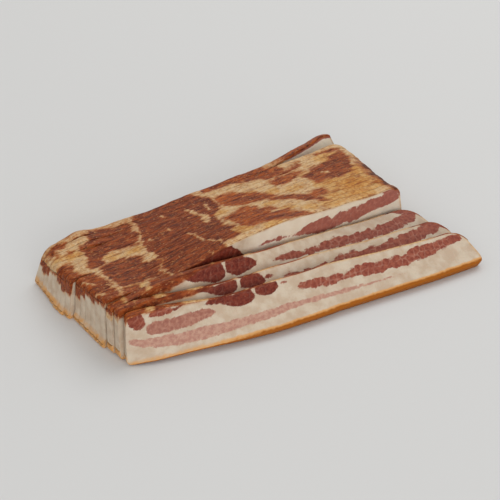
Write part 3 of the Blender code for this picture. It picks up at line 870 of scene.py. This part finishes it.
def marbling(number, along, height):
    """(lean, darkness, seam) of a cut face. Its stripes swell and pinch from bundle to bundle."""
    own = REAR_FACE_LIKE if number == 0 else max(number, BLOCK_SLICES - 1)
    centre_u, centre_v, seam = bundles(along, height, BUNDLE_SIZE, own)
    parts = []
    for dark, outline in (row[1:] for row in FACE_AREAS if row[0] == own):
        field = area(outline, along, height)
        bulge = np.clip(area(outline, centre_u, centre_v) - field, -BUNDLE_PINCH, BUNDLE_BULGE)
        parts.append((field + (1.0 if dark == STRIPE else LOBE_BULGE) * bulge, dark))
    parts += [(chain(run, along, height), dark) for face, dark, run in FACE_CHAINS if face == own]
    lean, dark = blend_fields(parts)
    pinch = BUNDLE_PINCH * (1.0 - ease(0.0, PINCH_WIDTH, seam)) * (dark < 0.9) * (lean < 1.2)
    return lean - pinch, dark, seam


def before_right(local, reach):
    """Rises from 0 to 1 between two distances from the right end."""
    return ease(local.length - reach[0], local.length - reach[1], local.along)


def face_fields(local, spot):
    """(lean, darkness, seam, drape) of the cut faces. The drape is lean that hangs over them from the top."""
    number, along, height, g = local.number, local.along, local.height, local.below_top
    from_rind = height if number >= BLOCK_SLICES - 1 else height * TYPICAL_WIDTH * MM / local.width
    wobble = uneven("face", spot)
    lean, dark, seam = marbling(number, along + wobble, from_rind + wobble)
    drape = np.full_like(g, -FAR)
    if number == 0:
        rim = REAR_RIM_DEPTH * ease(*REAR_RIM, along) - g
        lean, dark = blend_fields([(lean, dark), (rim, REAR_RIM_DARK)])
        lean = np.where((local.across > 0.5) & (along > REAR_RIM[0] - REAR_RIM_LEAD), rim, lean)
    if number >= BLOCK_SLICES - 1:
        place = number - BLOCK_SLICES + 1
        drape = FAN_SKIN[place] * (1.0 - ease(*FAN_SKIN_REACH, along)) - g + uneven("drape", spot)
        tip = TIP_DEPTH[place] * before_right(local, TIP_REACH) - g
        lean, dark = blend_fields([(lean, dark), (drape, FAN_SKIN_DARK), (tip, TIP_DARK)])
    return lean, dark, seam, drape


def rind_field(local, spot, near_left):
    """Rind: a band along the foot, and crumbs of it on the left end and underneath."""
    along, height = local.along, local.height
    band = RIND_LEFT + (1.0 - RIND_LEFT) * ease(*RIND_SPREAD, along)
    rind = band * (1.0 - ease(*RIND_HEIGHT, height + uneven("rind", spot)))
    crumbs = 0.5 + uneven("crumbs", spot)
    at_end = near_left * (CRUMB_END[0] + CRUMB_END[1] * crumbs**2)
    at_end = at_end * (1.0 - ease(*CRUMB_HEIGHT, height + 2.0 * crumbs))
    at_foot = CRUMB_FOOT[0] + CRUMB_FOOT[1] * crumbs + FOOT_BROWN * ease(*FOOT_SPREAD, along)
    return np.where(local.foot, at_foot, np.maximum(rind, at_end))


def char_field(local, spot, u, on_top):
    """Char along the right top edge and in the crack on top."""
    beyond = np.clip(local.length - local.along, 0.0, None)
    rim_distance = np.hypot(np.clip(local.below_top, 0.0, None), CHAR_SLOPE * beyond)
    amount = CHAR_AMOUNT[0 if local.number < BLOCK_SLICES else 1]
    char = amount * np.exp(-((rim_distance / CHAR_REACH) ** 2)) * ease(*CHAR_FROM, local.number)
    crack = chain(from_back(TOP_CRACK, 3), u, local.slab_y)
    char = np.maximum(char, ease(*CRACK_EDGE, crack) * on_top)
    return char * (CHAR_EVEN + uneven("char", spot))


def meat_fields(local):
    """Every field of a slice, at its vertices."""
    number, along, g = local.number, local.along, local.below_top
    u = along * TOP_UNITS / local.length
    spot = np.stack([along, local.slab_y, local.height], axis=-1)
    fray = uneven("fray", spot) + uneven("fine_fray", spot)
    if number < BLOCK_SLICES:
        drift = uneven("drift", spot) + uneven("fine_drift", spot)
        slip = SLICE_SLIP * step_of(number, 6)
        top_lean, top_dark, gold = top_fields(u + fray + slip, local.slab_y + drift)
    else:
        top_lean, top_dark, gold = fan_top_fields(number - BLOCK_SLICES, u + 0.5 * fray)
    if number == 0:
        top_lean = np.maximum(top_lean, REAR_RIM_TOP[0] * ease(*REAR_RIM, along) - REAR_RIM_TOP[1])
    on_top = local.top | (g < TOP_DEPTH)
    face_lean, face_dark, seam, drape = face_fields(local, spot)

    near_left = 1.0 - ease(*LEFT_TURN, along)
    near_right = before_right(local, RIGHT_TURN)
    in_block = number < BLOCK_SLICES - 1
    skin_depth = (BLOCK_SKIN if in_block else FACE_SKIN) + END_SKIN * near_left
    under_top = 1.0 - ease(*(BLOCK_SMOKE if in_block else FACE_SMOKE), g)
    under_top = np.maximum(under_top, HANG_SMOKE * ease(*FAN_SKIN_EDGE, drape))
    hanging = END_HANG[number] - (g + uneven("hang", spot))
    side_lean = np.where(near_left > 0.5, hanging, face_lean)
    side_dark = np.where(near_left > 0.5, END_HANG_DARK, face_dark)
    through = np.minimum(top_lean, SKIN_LEAN) - g / skin_depth
    smoked = np.where(on_top, 1.0, np.maximum(under_top, RIGHT_SMOKE * near_right))
    # Distance to the faces on top, from which the material paints shade into the gaps between slices.
    to_face = np.minimum(local.across, 1.0 - local.across) * SLICE_THICKNESS * MM
    return {
        "slab": spot / NOISE_UNIT,
        "lean": np.where(on_top, top_lean, np.maximum(side_lean, through)),
        "dark": np.where(on_top | (through > side_lean), top_dark, side_dark),
        "smoked": np.maximum(smoked, np.where(hanging > -1.0, near_left * HANG_SMOKE, 0.0)),
        "gold": np.where(on_top, gold, gold * under_top + RIGHT_GOLD * near_right),
        "rind": rind_field(local, spot, near_left),
        "char": char_field(local, spot, u, on_top),
        "seam": np.where(on_top, NO_SEAM, seam),
        # Painted light: a share that brightens the cut faces of two slices towards their right end.
        "painted_light": np.where(on_top | (number not in PAINTED_LIGHT_FACES), 0.0, ease(*PAINTED_LIGHT_FROM, along)),
        "cut": np.where(on_top, to_face, NO_CUT),
    }


def relief(local, fields):
    """How far each vertex stands proud of the smooth slice, in metres."""
    spot = fields["slab"] * NOISE_UNIT
    fat = 1.0 - ease(-0.6, 0.6, fields["lean"])
    on_skin = fields["smoked"]
    bumps = uneven("bumps", spot) + uneven("fine_bumps", spot)
    fibres = uneven("fibres", spot) * on_skin * (1.0 - fat)
    height = (CUT_BUMPS + SKIN_BUMPS * on_skin) * bumps
    height = height + (CUT_STEP + SKIN_STEP * on_skin) * (fat - 0.5) + fibres
    buried = ((local.across == 1.0) & (local.number < BLOCK_SLICES - 1)) | (local.across == 0.0)
    return np.where(buried & (local.below_top > FLAT_BELOW), 0.0, height) / MM


# ---- materials


def linear(red, green, blue):
    """A colour given as it shows on a screen, 0 to 255, as the renderer counts it."""
    shares = np.array([red, green, blue]) / 255.0
    values = np.where(shares <= 0.04045, shares / 12.92, ((shares + 0.055) / 1.055) ** 2.4)
    return (*values.tolist(), 1.0)


class Shader:
    """A material's node tree, with short calls for the nodes that meat needs."""

    def __init__(self, name):
        self.material = bpy.data.materials.new(name)
        self.material.use_nodes = True
        self.tree = self.material.node_tree
        self.surface = self.tree.nodes["Principled BSDF"]

    def fill(self, socket, value):
        if isinstance(value, bpy.types.NodeSocket):
            self.tree.links.new(value, socket)
        else:
            socket.default_value = value

    def dress(self, settings):
        """Fills inputs of the surface, by name."""
        for name, value in settings.items():
            self.fill(self.surface.inputs[name], value)

    def node(self, kind, inputs, output=0, **settings):
        """One output of a new node, after its settings are made and its inputs are filled."""
        node = self.tree.nodes.new("ShaderNode" + kind)
        for name, value in settings.items():
            setattr(node, name, value)
        for socket, value in inputs.items():
            self.fill(node.inputs[socket], value)
        return node.outputs[output]

    def field(self, name, output="Fac"):
        return self.node("Attribute", {}, output, attribute_name=name)

    def math(self, operation, first, second):
        return self.node("Math", {0: first, 1: second}, operation=operation)

    def add(self, first, second):
        return self.math("ADD", first, second)

    def times(self, first, second):
        return self.math("MULTIPLY", first, second)

    def sway(self, value, amount):
        """A noise value turned into a swing of half the amount to either side."""
        return self.times(self.math("SUBTRACT", value, 0.5), amount)

    def range(self, value, low, high, to_low=0.0, to_high=1.0):
        inputs = {"Value": value, "From Min": low, "From Max": high, "To Min": to_low, "To Max": to_high}
        return self.node("MapRange", inputs, "Result", interpolation_type="SMOOTHSTEP")

    def noise(self, vector, stretch, scale, detail, roughness):
        if stretch:
            vector = self.node("VectorMath", {0: vector, 1: stretch}, operation="MULTIPLY")
        inputs = {"Vector": vector, "Scale": scale, "Detail": detail, "Roughness": roughness}
        return self.node("TexNoise", inputs, "Fac")

    def mix(self, share, first, second):
        inputs = {"Factor": share, MIX_FIRST_COLOUR: first, MIX_SECOND_COLOUR: second}
        return self.node("Mix", inputs, MIX_COLOUR_OUT, data_type="RGBA", clamp_result=False)

    def blend(self, value, first, second):
        """Two near colours of one tissue, mottled by a noise value."""
        return self.mix(self.range(value, *MOTTLE), linear(*first), linear(*second))

    def tint(self, colour, paint, share):
        """A colour with a share of paint over it."""
        return self.mix(share, colour, linear(*paint))

    def fade(self, colour, layer, value):
        """A colour with a layer over it that grows with a value."""
        paint, low, high, most = LAYERS[layer]
        return self.tint(colour, paint, self.range(value, low, high, 0.0, most))


def meat_material():
    s = Shader("meat")
    slab = s.field("slab", "Vector")
    names = ("lean", "dark", "smoked", "gold", "rind", "char", "seam", "cut", "painted_light")
    lean, dark, smoked, gold, rind, char, seam, cut, painted_light = (s.field(name) for name in names)
    noises = (s.noise(slab, *settings) for settings in NOISES.values())
    coarse, medium, fine, fibre, fleck, grain, stains, streaks, specks = noises

    # Lean ends in an uneven edge, the more frayed on the smoked side.
    edge = s.add(lean, s.sway(fine, 1.3))
    edge = s.add(edge, s.times(s.sway(medium, 2.0), s.range(smoked, 0.0, 1.0, 0.45, 1.0)))
    edge = s.add(edge, s.times(s.sway(fibre, 4.8), smoked))
    in_lean = s.range(s.times(edge, s.range(smoked, 0.0, 1.0, 1.0, 0.35)), -0.35, 0.35)

    # Fat: creamy where it was cut, tan to orange where the smoke coloured it.
    cut_fat = s.blend(coarse, *CUT_FAT)
    cut_fat = s.fade(cut_fat, "fat_grain", fine)
    # Painted light: brightens the cut fat on the faces of those two slices.
    cut_fat = s.tint(cut_fat, FAT_PAINTED_LIGHT, s.times(painted_light, 0.55))
    golden = s.add(gold, s.sway(medium, 0.5))
    pale_gold = s.blend(medium, *PALE_GOLD)
    smoked_fat = s.mix(s.range(golden, 0.05, 0.50), linear(*SMOKED_CREAM), pale_gold)
    deep_gold = s.blend(medium, *DEEP_GOLD)
    smoked_fat = s.mix(s.range(golden, 0.45, 1.10), smoked_fat, deep_gold)
    stain = s.times(s.range(fibre, 0.48, 0.66), s.range(golden, 0.10, 0.80, 0.45, 0.80))
    stain = s.math("MAXIMUM", stain, s.range(stains, 0.55, 0.66, 0.0, 0.75))
    smoked_fat = s.tint(smoked_fat, STAIN, stain)
    smoked_fat = s.fade(smoked_fat, "near_lean", edge)
    fat = s.mix(smoked, cut_fat, smoked_fat)

    # Lean on the cut faces: pale and dark stripes, with paler seams between the bundles.
    pale_stripe = s.blend(medium, *PALE_STRIPE)
    stripe = s.blend(medium, *STRIPE_LEAN)
    muscle = s.blend(medium, *MUSCLE)
    cut_lean = s.mix(s.range(dark, 0.0, 0.42), pale_stripe, stripe)
    cut_lean = s.mix(s.range(dark, 0.45, 1.0), cut_lean, muscle)
    line = s.times(s.range(seam, 0.0, 0.55, 1.0, 0.0), s.range(coarse, 0.38, 0.60, 0.05, 0.42))
    line = s.times(line, s.range(dark, 0.45, 1.0, 1.0, 0.35))
    cut_lean = s.tint(cut_lean, SEAM_FAT, line)
    cut_lean = s.fade(cut_lean, "lean_fleck", fine)
    # Painted light: brightens the cut lean on the same faces.
    cut_lean = s.tint(cut_lean, LEAN_PAINTED_LIGHT, s.times(painted_light, 0.30))

    # Lean on the smoked side: brown, in fibres, with tan and dark streaks and small light specks that are
    # painted glints.
    brown = s.blend(fibre, *BROWN)
    deep = s.blend(fibre, *DEEP)
    smoked_lean = s.mix(s.range(dark, 0.40, 0.95), brown, deep)
    tan_streaks = s.times(s.range(fleck, 0.56, 0.70), s.range(dark, 0.4, 1.0, 0.85, 0.60))
    smoked_lean = s.tint(smoked_lean, TAN_STREAK, tan_streaks)
    smoked_lean = s.fade(smoked_lean, "dark_streak", streaks)
    # Painted highlight: small light glints on the smoked lean.
    smoked_lean = s.fade(smoked_lean, "painted_glint", specks)
    rim = s.times(s.range(edge, 0.2, 2.2, 0.55, 0.0), s.range(coarse, 0.35, 0.60))
    smoked_lean = s.tint(smoked_lean, LEAN_RIM, rim)
    grain_share = s.times(s.range(grain, 0.42, 0.75, 0.0, 0.22), s.range(smoked, 0.0, 1.0, 1.0, 0.4))
    meat_lean = s.tint(s.mix(smoked, cut_lean, smoked_lean), LEAN_GRAIN, grain_share)

    # Painted shade along the gaps between slices on the smoked side, then rind, scorched edges and char.
    colour = s.mix(in_lean, fat, meat_lean)
    gap_shade = s.range(s.add(cut, s.sway(fine, 0.5)), 0.05, 0.60, 1.0, 0.0)
    colour = s.tint(colour, PAINTED_GAP_SHADE, s.times(gap_shade, s.range(medium, 0.35, 0.60, 0.15, 0.6)))
    rind_edge = s.add(rind, s.sway(medium, 0.45))
    colour = s.fade(colour, "rind_tan", rind_edge)
    colour = s.fade(colour, "rind_brown", rind_edge)
    burnt = s.add(char, s.sway(fine, 0.5))
    colour = s.fade(colour, "scorch", burnt)
    colour = s.fade(colour, "char", burnt)

    gloss = s.add(s.range(fine, 0.30, 0.70, 0.42, 0.60), s.times(in_lean, -0.04))
    height = s.add(s.times(fine, 0.5), s.times(grain, 0.3))
    height = s.add(height, s.times(s.times(fibre, smoked), 0.6))
    height = s.add(height, s.times(in_lean, -0.35))
    bump = s.node("Bump", {"Strength": BUMP_STRENGTH, "Distance": BUMP_DISTANCE, "Height": height})
    s.dress(SURFACE)
    s.dress({"Base Color": colour, "Roughness": gloss, "Normal": bump})
    return s.material


# ---- building the slices


def build_slice(number, material):
    positions, quads, local = slice_grid(number)
    fields = meat_fields(local)
    normals = vertex_normals(positions, quads)
    positions = positions + normals * relief(local, fields)[:, None]
    positions = np.clip(positions, *cad_bounds)

    name = f"bacon_slice_{number + 1:02d}"
    mesh = bpy.data.meshes.new(name)
    mesh.vertices.add(len(positions))
    mesh.vertices.foreach_set("co", positions.astype(np.float32).ravel())
    mesh.loops.add(len(quads) * 4)
    mesh.loops.foreach_set("vertex_index", quads.astype(np.int32).ravel())
    mesh.polygons.add(len(quads))
    mesh.polygons.foreach_set("loop_start", np.arange(0, len(quads) * 4, 4, dtype=np.int32))
    mesh.update(calc_edges=True)
    mesh.validate()
    mesh.shade_smooth()
    for key, values in fields.items():
        kind, item = ("FLOAT_VECTOR", "vector") if values.ndim == 2 else ("FLOAT", "value")
        attribute = mesh.attributes.new(key, kind, "POINT")
        attribute.data.foreach_set(item, values.astype(np.float32).ravel())
    mesh.materials.append(material)
    piece = bpy.data.objects.new(name, mesh)
    bpy.context.scene.collection.objects.link(piece)
    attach(piece, "root")
    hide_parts(f"slice_{number + 1:02d}")


meat = meat_material()
for slice_number in range(BLOCK_SLICES + FAN_SLICES):
    build_slice(slice_number, meat)


# ---- floor, light and camera


def aim(thing, position, target):
    """Points a light or camera at the target, with its own up towards the sky."""
    thing.location = position
    thing.rotation_euler = (Vector(target) - Vector(position)).to_track_quat("-Z", "Y").to_euler()


def around(azimuth, elevation, distance, target):
    """The point at a distance from the target, in the direction of two angles in degrees."""
    a, e = math.radians(azimuth), math.radians(elevation)
    offset = (math.sin(a) * math.cos(e), -math.cos(a) * math.cos(e), math.sin(e))
    return tuple(t + distance * o for t, o in zip(target, offset))


def build_floor():
    bpy.ops.mesh.primitive_plane_add(size=FLOOR_SIZE)
    floor = bpy.context.object
    floor.name = "studio_floor"
    s = Shader("studio_floor")
    s.dress({"Base Color": linear(*FLOOR_COLOUR), **FLOOR_SURFACE})
    floor.data.materials.append(s.material)


def add_area_light(name, azimuth, elevation, distance, size, power):
    light = bpy.data.lights.new(name, "AREA")
    light.shape = "SQUARE"
    light.size = size
    light.energy = power
    lamp = bpy.data.objects.new(name, light)
    bpy.context.scene.collection.objects.link(lamp)
    centre = (0.0, 0.0, 0.0)
    aim(lamp, around(azimuth, elevation, distance, centre), centre)


def build_light():
    world = bpy.data.worlds.new("studio")
    world.use_nodes = True
    background = world.node_tree.nodes["Background"]
    background.inputs["Color"].default_value = WORLD_COLOUR
    background.inputs["Strength"].default_value = WORLD_STRENGTH
    bpy.context.scene.world = world
    for lamp in LIGHTS:
        add_area_light(*lamp)


def build_camera():
    camera = bpy.data.cameras.new("photo_view")
    camera.sensor_width = SENSOR
    camera.lens = SENSOR * FOCAL_SHARE
    camera.clip_start = CLIP_START
    view = bpy.data.objects.new("photo_view", camera)
    bpy.context.scene.collection.objects.link(view)
    aim(view, around(AZIMUTH, ELEVATION, DISTANCE, TARGET), TARGET)
    bpy.context.scene.camera = view


build_floor()
build_light()
build_camera()
bpy.context.scene.view_settings.view_transform = "Standard"
